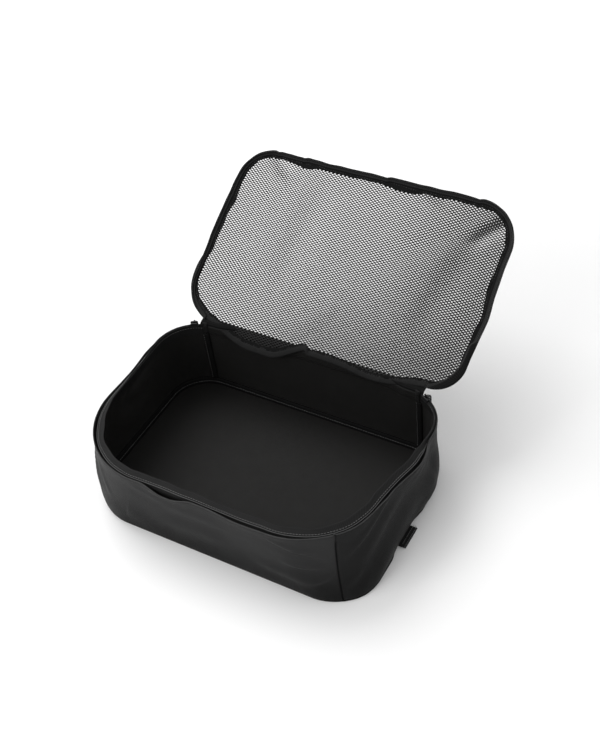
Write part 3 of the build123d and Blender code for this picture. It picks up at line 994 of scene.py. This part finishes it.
def net_mesh():
    """Points on the net's cut, their heights and the faces. Yarn knots stand at the corners of lozenges, and
    each lozenge has one hole."""
    lozenge = [(COLUMN, 0.0), (0.0, IN_COLUMN / 2), (-COLUMN, 0.0), (0.0, -IN_COLUMN / 2)]
    corners, points, heights, faces, border = {}, [], [], [], {}

    def corner(x, y, side):
        key = (round(x * 100), round(y * 100), side)
        if key not in corners:
            corners[key] = len(points)
            points.append((x, y))
            heights.append(RIDGE * side)
        return corners[key]

    columns = int(LID["right"] / COLUMN)
    rows = int(NET_REACH / IN_COLUMN)
    for i in range(-columns, columns + 1):
        x = i * COLUMN
        slack = float(hinge_slack(x))
        for j in range(-rows, rows + 1):
            y = 1.25 + j * IN_COLUMN + (i % 2) * IN_COLUMN / 2
            inset = 4.4 if y < 96 else 3.4
            if not inside_lid(x, y - (slack if y > 90 else 0), inset):
                continue
            shrink = math.sqrt(2 * HOLE_SHARE * openness(x, y)) / 2
            hole = len(points)
            for k in range(4):
                (ax, ay), (bx, by) = lozenge[k], lozenge[(k + 1) % 4]
                points.append((x + (ax + bx) * shrink, y + (ay + by) * shrink))
                heights.append(0.0)
            for side in (1, -1):
                outer = [corner(x + dx, y + dy, side) for dx, dy in lozenge]
                for k in range(4):
                    m = (k + 1) % 4
                    for face in ((outer[k], outer[m], hole + k), (outer[m], hole + m, hole + k)):
                        faces.append(face if side > 0 else face[::-1])
                    if side > 0:
                        pair = (outer[m], outer[k])
                        if pair in border:
                            del border[pair]
                        else:
                            border[(outer[k], outer[m])] = True
    below = {index: corners[(key[0], key[1], -1)] for key, index in corners.items() if key[2] > 0}
    for a, b in border:
        faces.append((b, a, below[a], below[b]))
    return np.array(points), np.array(heights), faces


cut, ridge, faces = net_mesh()
lid_net = make_object("lid_net", lid_point(cut, ridge, cut=True), faces, cut, [net_yarn])
lid_piece(lid_net, "lid_mesh", "lid_mesh")


# Hinge fold between the back wall and the lid

CORNER_RADIUS = TRACK["radii"][1]
CORNER_X = TRACK["right"] - CORNER_RADIUS
x = np.linspace(-147, 147, 148)
q = np.linspace(0, 1, 16)[None, :, None]
turned_in = CORNER_RADIUS - np.sqrt(CORNER_RADIUS**2 - np.maximum(np.abs(x) - CORNER_X, 0) ** 2)
foot = np.stack([x, 118.8 - turned_in + 6.5 * (1 - smooth(88, 128, np.abs(x))), np.full_like(x, 93.5)], -1)
top = opened(np.stack([x, np.full_like(x, LID["back"] - 1.5), np.full_like(x, LID_Z + 1.2)], -1))
crest = np.stack([x, foot[:, 1] + 0.6, np.full_like(x, 98.5)], -1)
near_side = (1 - q) ** 2 * foot[:, None, :] + 2 * q * (1 - q) * crest[:, None, :] + q**2 * top[:, None, :]
far_side = near_side + np.array([0.0, 0.9, 0.35])
hinge_fold = swept("hinge_fold", np.concatenate([near_side, far_side[:, ::-1]], 1), materials=[binding_cloth])
lid_piece(hinge_fold, "wall_fabric", "hinge_strip")


# Side tab: a loop of webbing, sewn flat

# How far the loop reaches in under the wall, and its middle height
UNDER_WALL = 4.5
TAB_Z = 1.4
low, high = (np.array(corner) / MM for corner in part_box("side_tab"))
y = np.linspace(low[1], high[1], 41)[:, None]
q = np.linspace(0, 1, 12)[None, :]
reach = high[0] - low[0]
bulge = 0.25 * (1 - np.abs(2 * (y - low[1]) / (high[1] - low[1]) - 1) ** 12)
crown = np.sqrt(np.clip(1 - (2 * q - 1) ** 8, 0, 1))
top_side = np.stack(np.broadcast_arrays(low[0] - UNDER_WALL + (reach + UNDER_WALL) * q, y, 0.0), -1)
bottom_side = top_side[:, ::-1].copy()
top_side[..., 2] = TAB_Z + (0.85 + bulge) * crown + 0.12 * ripple(y + 2 * q, 9, 99)
bottom_side[..., 2] = TAB_Z - (0.75 + bulge) * crown[:, ::-1]
tab_webbing = swept("tab_webbing", np.concatenate([top_side, bottom_side], 1), materials=[webbing_cloth])
rigid_piece(tab_webbing, "tab_webbing", "side_tab", body="side_tab")
# The sewn box, as (share of the reach, distance from the tab's middle)
box = [(0.25, -16), (0.8, -16), (0.8, 16), (0.25, 16), (0.25, -16)]
corners = np.array([(low[0] + reach * a, (low[1] + high[1]) / 2 + b, 2.62) for a, b in box])
line = np.concatenate([np.linspace(corners[i], corners[i + 1], 12)[:-1] for i in range(4)])
rigid_piece(stitches("tab_stitches", line, upward(len(line)), thread, 2.4, 1.6), None, body="side_tab")


# Sliders and pulls keep their CAD shapes

for side in ("right", "left"):
    for node, material in (("slider", slider_metal), ("pull_link", slider_metal), ("pull_grip", grip_rubber)):
        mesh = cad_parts[node + "_" + side].data
        mesh.materials.clear()
        mesh.materials.append(material)


# Floor, light and camera

FLOOR_HALF = 8
mesh = bpy.data.meshes.new("floor")
ring = ((-1, -1), (1, -1), (1, 1), (-1, 1))
mesh.from_pydata([(x * FLOOR_HALF, y * FLOOR_HALF, 0) for x, y in ring], [], [(0, 1, 2, 3)])
mesh.materials.append(node_material("floor", grey(0.86), 0.85, specular=0.15)[0])
floor = bpy.data.objects.new("floor", mesh)
bpy.context.scene.collection.objects.link(floor)
floor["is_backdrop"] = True

world = bpy.data.worlds.new("studio")
world.use_nodes = True
world.node_tree.nodes["Background"].inputs["Color"].default_value = (1, 1, 1, 1)
world.node_tree.nodes["Background"].inputs["Strength"].default_value = 0.78
bpy.context.scene.world = world


def area_light(name, place, target, width, height, power):
    light = bpy.data.lights.new(name, "AREA")
    light.shape = "RECTANGLE"
    light.size = width
    light.size_y = height
    light.energy = power
    made = bpy.data.objects.new(name, light)
    bpy.context.scene.collection.objects.link(made)
    made.location = place
    made.rotation_mode = "QUATERNION"
    made.rotation_quaternion = (Vector(target) - Vector(place)).to_track_quat("-Z", "Y")


area_light("key", (-1.5, 0.7, 2.2), (0.05, 0.0, 0.0), 1.7, 1.7, 39)
area_light("fill", (-1.0, -1.8, 1.6), (0.0, 0.0, 0.05), 1.8, 1.4, 26)

# The camera looks down on the front right corner, turned a little on its axis. Its place is in tray widths.
AZIMUTH = math.radians(34.337)
ELEVATION = math.radians(44.355)
ROLL = math.radians(-7.4207)
WIDTH = 0.36
HALF_HEIGHT = 0.26411 / 2
ASIDE, ABOVE = 0.1221, 0.24837
DISTANCE = 3.91035
cos_up, sin_up = math.cos(ELEVATION), math.sin(ELEVATION)
back = np.array([math.sin(AZIMUTH) * cos_up, -math.cos(AZIMUTH) * cos_up, sin_up])
level = np.array([math.cos(AZIMUTH), math.sin(AZIMUTH), 0.0])
above = np.cross(back, level)
right = math.cos(ROLL) * level + math.sin(ROLL) * above
above = math.cos(ROLL) * above - math.sin(ROLL) * level
location = (np.array([0.0, 0.0, HALF_HEIGHT]) + ASIDE * right + ABOVE * above + DISTANCE * back) * WIDTH
data = bpy.data.cameras.new("camera")
data.sensor_fit = "AUTO"
data.sensor_width = 36.0
data.lens = 60.13
camera = bpy.data.objects.new("camera", data)
bpy.context.scene.collection.objects.link(camera)
camera.matrix_world = Matrix([[right[i], above[i], back[i], location[i]] for i in range(3)] + [[0, 0, 0, 1]])
bpy.context.scene.camera = camera
bpy.context.scene.view_settings.view_transform = "Standard"

# Each wall's length along the rim, in metres
for piece, start, stop, others in (
    (front_left_wall, BACK_LEFT_SEAM, 8 + FRONT_SEAM,
     [rim_fold, rim_stitches, tape_fold_highlight, lower_tape, lower_coil, inner_stitches]),
    (right_wall, FRONT_SEAM, BACK_RIGHT_SEAM, []),
    (back_wall, BACK_RIGHT_SEAM, BACK_LEFT_SEAM, [back_fold, hinge_fold]),
):
    length = float(rim_run(stop) - rim_run(start)) * MM

low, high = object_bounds()
